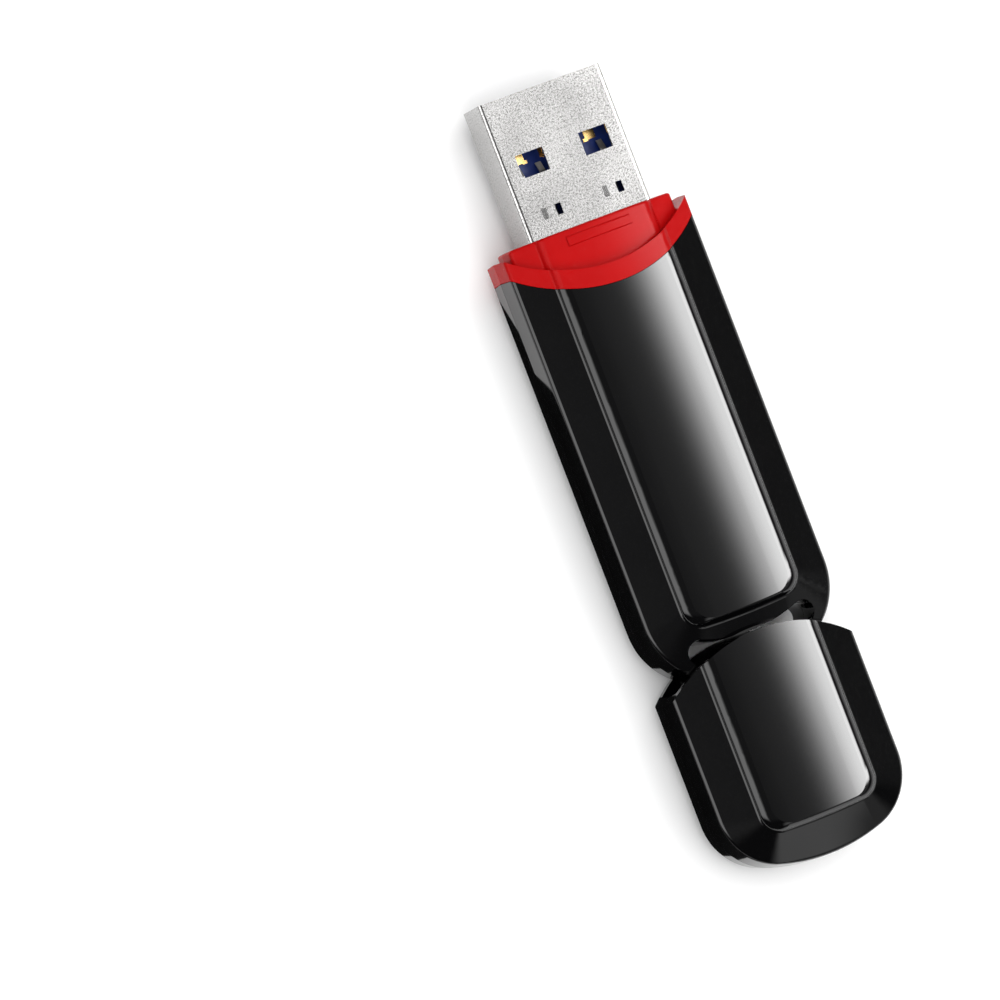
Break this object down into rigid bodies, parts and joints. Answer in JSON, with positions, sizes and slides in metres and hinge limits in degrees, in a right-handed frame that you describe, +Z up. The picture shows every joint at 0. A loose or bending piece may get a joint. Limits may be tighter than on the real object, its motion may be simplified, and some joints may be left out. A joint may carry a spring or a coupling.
{
  "type": "usb flash drive",
  "caption": "Pocket USB flash drive with a gloss black case, a red collar, an exposed USB plug, a lanyard slot and a pull-off cap parked on its tail.",
  "frame": {"origin": "on the surface it lies on, under the middle of the open drive's overall box", "axes": "+Y along the drive towards the plug, +X across it, +Z up through the crowned panel"},
  "size_m": [0.0182, 0.0716, 0.009],
  "materials": {
    "shell_plastic": "high gloss black, moulded",
    "catch_plastic": "gloss black",
    "collar_plastic": "gloss red, moulded",
    "plug_steel": "nickel plated, fine satin grain",
    "insulator_plastic": "satin blue",
    "contact_gold": "gold flashed, bright",
    "spring_metal": "nickel flashed, satin",
    "board_laminate": "green solder mask",
    "chip_resin": "moulded, matt",
    "lead_metal": "tinned",
    "capacitor_ceramic": "fired ceramic",
    "cap_plastic": "high gloss black, moulded"
  },
  "bodies": {
    "drive": {"upper_shell": "shell_plastic", "lower_shell": "shell_plastic", "tail_catch": "catch_plastic", "collar": "collar_plastic", "plug_shell": "plug_steel", "plug_insulator": "insulator_plastic", "terminal_carrier": "insulator_plastic", "contact_vbus": "contact_gold", "contact_data_minus": "contact_gold", "contact_data_plus": "contact_gold", "contact_ground": "contact_gold", "superspeed_contact_1": "spring_metal", "superspeed_contact_2": "spring_metal", "superspeed_contact_3": "spring_metal", "superspeed_contact_4": "spring_metal", "superspeed_contact_5": "spring_metal", "circuit_board": "board_laminate", "flash_memory": "chip_resin", "flash_leads": "lead_metal", "controller_chip": "chip_resin", "crystal_oscillator": "lead_metal", "power_inductor": "chip_resin", "voltage_regulator": "chip_resin", "capacitors": "capacitor_ceramic", "resistors": "chip_resin"},
    "cap": {"cap_upper_shell": "cap_plastic", "cap_lower_shell": "cap_plastic"}
  },
  "joints": [
    {"name": "cap_pull", "type": "slide", "parent": "drive", "child": "cap", "axis": [0, -1, 0], "range_m": [0, 0.02]}
  ]
}
